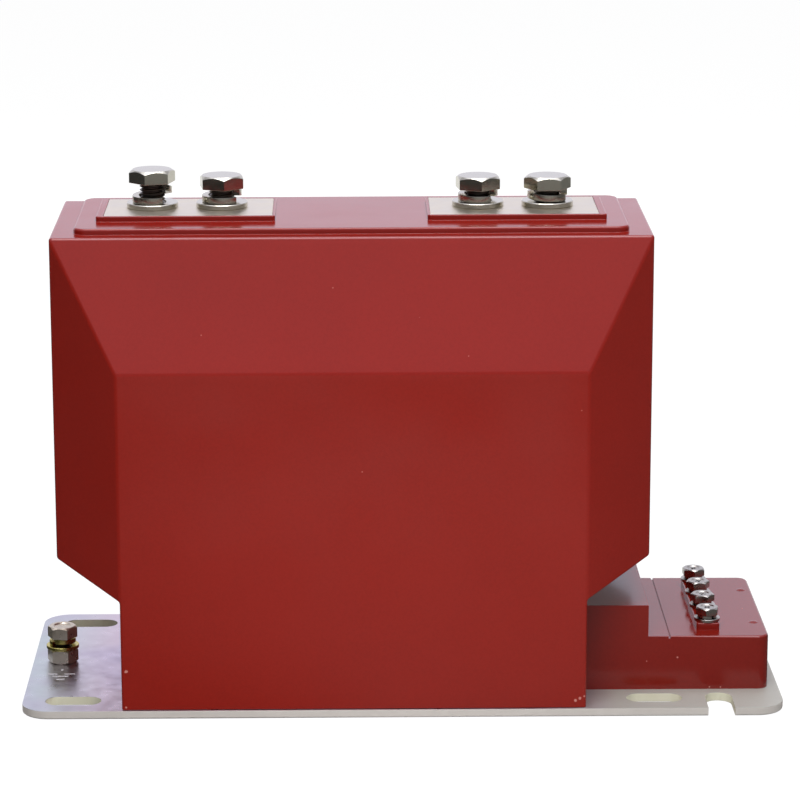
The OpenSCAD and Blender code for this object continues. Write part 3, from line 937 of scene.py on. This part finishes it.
def make_spring_washer(node, name, sizes, split, material, climb=1):
    """Split ring of square wire with softened edges, wound to the left, given its bore and wire side.

    A climb above 1 keeps most of the ring flat.
    """
    x, y, low, high = centre(node)
    bore, wire = sizes
    bm = bmesh.new()
    section = [(bore / 2, 0), (bore / 2 + wire, 0), (bore / 2 + wire, wire), (bore / 2, wire)]
    bm.faces.new([bm.verts.new((r, 0, z)) for r, z in section])
    bmesh.ops.bevel(
        bm, geom=bm.verts[:], offset=WASHER_SOFT_SHARE * wire, segments=2, profile=0.5,
        affect="VERTICES", material=-1,
    )
    start = Matrix.Rotation(-SPRING_GAP / 2, 3, "Z")
    bmesh.ops.rotate(bm, cent=(0, 0, 0), matrix=start, verts=bm.verts)
    around = 2 * pi - SPRING_GAP
    bmesh.ops.spin(
        bm, geom=bm.faces[:], axis=(0, 0, 1), cent=(0, 0, 0), angle=-around, steps=SPRING_STEPS,
    )
    for v in bm.verts:
        share = (-atan2(v.co.y, v.co.x) % (2 * pi) - SPRING_GAP / 2) / around
        v.co.z += (high - low - wire) * max(share, 0) ** climb
    bmesh.ops.recalc_face_normals(bm, faces=bm.faces)
    rotate_form(bm, split)
    bmesh.ops.translate(bm, vec=(x, y, low), verts=bm.verts)
    piece(name, form_mesh(bm), [material], [node])


def make_flat_washer(node, name, bore, material):
    """Punched washer with softened edges."""
    x, y, low, high = centre(node)
    corners = node_box(node)
    inner, outer = bore / 2, (corners[1].x - corners[0].x) / 2
    height = high - low
    soft = WASHER_SOFT_SHARE * height
    profile = [
        (inner, soft), (inner + soft, 0), (outer - soft, 0), (outer, soft), (outer, height - soft),
        (outer - soft, height), (inner + soft, height), (inner, height - soft), (inner, soft),
    ]
    bm = bmesh.new()
    lathe(bm, profile, WASHER_STEPS)
    bmesh.ops.translate(bm, vec=(x, y, low), verts=bm.verts)
    piece(name, form_mesh(bm), [material], [node])


def make_primary_fasteners():
    """M12 bolts with their washers, each standing as the photograph shows it."""
    for i, (turn, split, climb) in enumerate(zip(BOLT_TURN, BOLT_SPLIT, BOLT_CLIMB), 1):
        make_screw(
            f"primary_bolt_{i}", f"terminal_bolt_{i}", turn, BOLT_STEEL, "bright_steel", **BOLT
        )
        make_spring_washer(
            f"primary_spring_washer_{i}", f"terminal_spring_{i}", BOLT_SPRING, split, BOLT_STEEL,
            climb,
        )
        make_flat_washer(
            f"primary_flat_washer_{i}", f"terminal_washer_{i}", BOLT_WASHER_BORE, BOLT_STEEL,
        )


def make_deck_fasteners():
    """M6 screws of the secondary terminals with their washers."""
    for i, turn in enumerate(SCREW_TURN, 1):
        make_screw(
            f"secondary_screw_{i}", f"deck_screw_{i}", turn, SCREW_STEEL, "bright_steel", **DECK_SCREW
        )
        make_spring_washer(
            f"secondary_spring_washer_{i}", f"deck_spring_{i}", DECK_SPRING, SCREW_SPLIT, SCREW_STEEL,
        )
        make_flat_washer(
            f"secondary_flat_washer_{i}", f"deck_washer_{i}", DECK_WASHER_BORE, SCREW_STEEL,
        )


def make_earth_terminal():
    """M8 screw with its washers and the nut under them, which is chamfered at both ends."""
    make_screw(
        "earth_screw", "ground_screw", EARTH_TURN, WORN_CHROMATE, "yellow_zinc", **EARTH_SCREW
    )
    make_spring_washer(
        "earth_spring_washer", "ground_spring", EARTH_SPRING, EARTH_SPLIT, YELLOW_ZINC
    )
    make_flat_washer("earth_flat_washer", "ground_washer", EARTH_WASHER_BORE, YELLOW_ZINC)
    x, y, low, high = centre("earth_nut")
    nut = hex_head(NUT_FLATS, high - low, EARTH_TURN, hole=NUT_HOLE_RADIUS)
    bmesh.ops.translate(nut, vec=(x, y, low), verts=nut.verts)
    piece("ground_nut", form_mesh(nut), [WORN_CHROMATE], ["earth_nut"], sharp=25)


def make_earth_sign():
    """White earth sign printed on the plate in front of the earth terminal: a dot and three bars."""
    bm = bmesh.new()
    for x, y, length, width in EARTH_SIGN:
        stroke = bmesh.ops.create_cube(bm, size=1)["verts"]
        bmesh.ops.scale(bm, vec=(length, width, SIGN_THICKNESS), verts=stroke)
        bmesh.ops.translate(bm, vec=(x, y, PLATE_TOP + SIGN_THICKNESS / 2), verts=stroke)
    piece("earth_sign", form_mesh(bm), [PAINT])


def dress_inner_nodes():
    """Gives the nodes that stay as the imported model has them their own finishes."""
    for node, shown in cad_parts.items():
        for word, material in INNER_FINISHES.items():
            if word in node:
                shown.data.materials.clear()
                shown.data.materials.append(material)


# Camera: its place in metres, its turns in degrees, and its lens and sensor in millimetres
CAMERA_PLACE = (-0.02674, -1.56124, 0.51375)
CAMERA_YAW = 0.15
CAMERA_PITCH = -13.72
CAMERA_ROLL = -0.28
LENS = 152.86
SENSOR = 36
SHIFT_X = 0.06

# Levels of the studio, where 1 is white
FLOOR_GLOW = 0.96
FLOOR_WHITE = 0.12
FLOOR_BOUNCE = 0.5
WHITE_BEHIND = 1.1
FRONT_WALL = 0.7
CEILING = 2.4
AMBIENT = 0.12
ROOM_LEFT = 0.05
ROOM_FRONT = 0.28
ROOM_RIGHT_SHARE = 0.4
STRIP_SHARE = 0.3

# Floor: half its length, its depth under the plate, and its darker strip's middle, core and edge, in metres
FLOOR_REACH = 9
FLOOR_DROP = 0.0002
STRIP_Y = -0.7
STRIP_CORE = 0.08
STRIP_EDGE = 0.28

# Lamps: name, place and target, width and height in metres, radiance, and whether mirrors show the lamp
MIDDLE = (-0.02, 0, 0.11)
LAMPS = (
    ("key", (0.1, -0.85, 1.75), MIDDLE, (1.5, 1.0), 5.6, False),
    ("front_fill", (0, -0.3, 0.09), (0, 0, 0.09), (0.3, 0.1), 2.6, False),
    ("top", (0, 0.1, 1.8), MIDDLE, (1.0, 1.0), 3.6, True),
    ("rear", (0, 1.3, 0.2), MIDDLE, (1.6, 0.5), 2.2, False),
    ("side_left", (-1.3, 0.4, 0.12), MIDDLE, (0.8, 0.5), 1.2, False),
    ("side_right", (1.3, 0.1, 0.12), MIDDLE, (0.8, 0.5), 1.2, False),
)


def make_camera():
    """Camera at the photograph's place, with a long lens and the frame shifted to the right."""
    data = bpy.data.cameras.new("camera")
    data.sensor_width = SENSOR
    data.lens = LENS
    data.shift_x = SHIFT_X
    made = bpy.data.objects.new("camera", data)
    bpy.context.scene.collection.objects.link(made)
    made.matrix_world = (
        Matrix.Translation(CAMERA_PLACE)
        @ Matrix.Rotation(-radians(CAMERA_YAW), 4, "Z")
        @ Matrix.Rotation(pi / 2 + radians(CAMERA_PITCH), 4, "X")
        @ Matrix.Rotation(radians(CAMERA_ROLL), 4, "Z")
    )
    bpy.context.scene.camera = made


def mirror_ray(owner, light):
    """Factor that is 1 for what mirrors and glass show, from a Light Path node."""
    return add(
        owner, "ShaderNodeMath",
        {0: light.outputs["Is Glossy Ray"], 1: light.outputs["Is Transmission Ray"]},
        operation="MAXIMUM",
    ).outputs[0]


def dim_room(owner, outwards):
    """Brightness of the studio's lower half in reflections: darkest on the left, grey in front."""
    parts = add(owner, "ShaderNodeSeparateXYZ", {"Vector": outwards})
    left = add(
        owner, "ShaderNodeMapRange",
        {
            "Value": parts.outputs["X"],
            "From Min": -0.7, "From Max": -0.1, "To Min": ROOM_LEFT, "To Max": ROOM_FRONT,
        },
    )
    right = add(
        owner, "ShaderNodeMapRange",
        {
            "Value": parts.outputs["X"],
            "From Min": 0.5, "From Max": 1.0, "To Min": 1.0, "To Max": ROOM_RIGHT_SHARE,
        },
    )
    return add(
        owner, "ShaderNodeMath", {0: left.outputs["Result"], 1: right.outputs["Result"]},
        operation="MULTIPLY",
    ).outputs[0]


def studio_floor():
    """White floor paper. It shows white to the camera and keeps the object's shadow.

    In reflections it is white behind the object and as dim as the room elsewhere, as in a small studio,
    with a darker strip across it in front of the object.
    """
    material, place = new_material("studio_floor")
    light = add(material, "ShaderNodeLightPath")
    outwards = add(
        material, "ShaderNodeVectorMath", {0: place}, operation="NORMALIZE"
    ).outputs["Vector"]
    parts = add(material, "ShaderNodeSeparateXYZ", {"Vector": outwards})
    behind = add(
        material, "ShaderNodeMapRange", {"Value": parts.outputs["Y"], "From Min": 0.6, "From Max": 1.0}
    )
    spot = add(material, "ShaderNodeSeparateXYZ", {"Vector": place})
    beside = add(
        material, "ShaderNodeMath", {0: spot.outputs["Y"], 1: STRIP_Y}, operation="SUBTRACT"
    )
    away = add(material, "ShaderNodeMath", {0: beside.outputs[0]}, operation="ABSOLUTE")
    strip = add(
        material, "ShaderNodeMapRange",
        {
            "Value": away.outputs[0],
            "From Min": STRIP_CORE, "From Max": STRIP_EDGE, "To Min": STRIP_SHARE, "To Max": 1.0,
        },
    )
    room = add(
        material, "ShaderNodeMath", {0: dim_room(material, outwards), 1: strip.outputs["Result"]},
        operation="MULTIPLY",
    )
    mirrored = add(
        material, "ShaderNodeMix",
        {FACTOR: behind.outputs["Result"], NUMBER_A: room.outputs[0], NUMBER_B: WHITE_BEHIND},
        data_type="FLOAT",
    )
    in_mirror = mirror_ray(material, light)
    seen = add(
        material, "ShaderNodeMath", {0: light.outputs["Is Camera Ray"], 1: in_mirror},
        operation="MAXIMUM",
    )
    strength = add(
        material, "ShaderNodeMix",
        {FACTOR: in_mirror, NUMBER_A: FLOOR_GLOW, NUMBER_B: mirrored.outputs[0]}, data_type="FLOAT",
    )
    glow = add(material, "ShaderNodeEmission", {"Strength": strength.outputs[0]})
    paper = add(material, "ShaderNodeBsdfDiffuse", {"Color": (FLOOR_WHITE, FLOOR_WHITE, FLOOR_WHITE, 1)})
    bounce = add(
        material, "ShaderNodeBsdfDiffuse", {"Color": (FLOOR_BOUNCE, FLOOR_BOUNCE, FLOOR_BOUNCE, 1)}
    )
    shown = add(material, "ShaderNodeAddShader", {0: glow.outputs[0], 1: paper.outputs[0]})
    alone = add(
        material, "ShaderNodeMixShader", {0: in_mirror, 1: shown.outputs[0], 2: glow.outputs[0]}
    )
    whole = add(
        material, "ShaderNodeMixShader", {0: seen.outputs[0], 1: bounce.outputs[0], 2: alone.outputs[0]}
    )
    add(material, "ShaderNodeOutputMaterial", {"Surface": whole.outputs[0]})
    return material


def make_floor():
    """Plain floor just under the plate."""
    bm = bmesh.new()
    bmesh.ops.create_grid(bm, x_segments=1, y_segments=1, size=FLOOR_REACH)
    bmesh.ops.translate(bm, vec=(0, 0, -FLOOR_DROP), verts=bm.verts)
    mesh = bpy.data.meshes.new("floor")
    bm.to_mesh(mesh)
    bm.free()
    mesh.materials.append(studio_floor())
    floor = bpy.data.objects.new("floor", mesh)
    bpy.context.scene.collection.objects.link(floor)


def make_world():
    """Surroundings: white to the camera and an even ambient on the surfaces.

    In reflections they are a studio with a slightly violet white behind the object, a lit ceiling and a
    dim room low in front.
    """
    world = bpy.data.worlds.new("studio")
    bpy.context.scene.world = world
    world.use_nodes = True
    world.node_tree.nodes.clear()
    light = add(world, "ShaderNodeLightPath")
    direction = add(world, "ShaderNodeTexCoord").outputs["Generated"]
    parts = add(world, "ShaderNodeSeparateXYZ", {"Vector": direction})
    up = add(
        world, "ShaderNodeMapRange", {"Value": parts.outputs["Z"], "From Min": 0.25, "From Max": 0.6}
    )
    walls = add(
        world, "ShaderNodeMix",
        {FACTOR: up.outputs["Result"], NUMBER_A: dim_room(world, direction), NUMBER_B: FRONT_WALL},
        data_type="FLOAT",
    )
    behind = add(
        world, "ShaderNodeMapRange",
        {
            "Value": parts.outputs["Y"],
            "From Min": 0.4, "From Max": 0.75, "To Min": 0.0, "To Max": WHITE_BEHIND,
        },
    )
    around = add(
        world, "ShaderNodeMath", {0: walls.outputs[0], 1: behind.outputs["Result"]}, operation="MAXIMUM"
    )
    overhead = add(
        world, "ShaderNodeMapRange",
        {
            "Value": parts.outputs["Z"],
            "From Min": 0.7, "From Max": 0.95, "To Min": 0.0, "To Max": CEILING,
        },
    )
    mirrored = add(
        world, "ShaderNodeMath", {0: around.outputs[0], 1: overhead.outputs["Result"]},
        operation="MAXIMUM",
    )
    spread = add(
        world, "ShaderNodeMix",
        {FACTOR: mirror_ray(world, light), NUMBER_A: AMBIENT, NUMBER_B: mirrored.outputs[0]},
        data_type="FLOAT",
    )
    strength = add(
        world, "ShaderNodeMix",
        {FACTOR: light.outputs["Is Camera Ray"], NUMBER_A: spread.outputs[0], NUMBER_B: 1.0},
        data_type="FLOAT",
    )
    tint = add(
        world, "ShaderNodeMix",
        {
            FACTOR: light.outputs["Is Camera Ray"],
            COLOUR_A: hex_colour("efefff"), COLOUR_B: hex_colour("ffffff"),
        },
        data_type="RGBA",
    )
    background = add(
        world, "ShaderNodeBackground", {"Color": tint.outputs[MIXED], "Strength": strength.outputs[0]}
    )
    add(world, "ShaderNodeOutputWorld", {"Surface": background.outputs[0]})


def softbox(name, place, target, size, radiance, mirrored):
    """Rectangular lamp with the given radiance, facing a target."""
    data = bpy.data.lights.new(name, "AREA")
    data.shape = "RECTANGLE"
    data.size, data.size_y = size
    data.energy = radiance * pi * size[0] * size[1]
    made = bpy.data.objects.new(name, data)
    made.location = place
    facing = Vector(target) - Vector(place)
    made.rotation_euler = facing.to_track_quat("-Z", "Y").to_euler()
    made.visible_glossy = mirrored
    made.visible_camera = False
    bpy.context.scene.collection.objects.link(made)


make_body()
make_plate()
make_terminal("primary_terminal_p1")
make_terminal("primary_terminal_p2")
make_primary_fasteners()
make_deck_fasteners()
make_earth_terminal()
make_earth_sign()
dress_inner_nodes()

make_camera()
make_floor()
make_world()
for lamp in LAMPS:
    softbox(*lamp)

bpy.context.scene.view_settings.view_transform = "Standard"
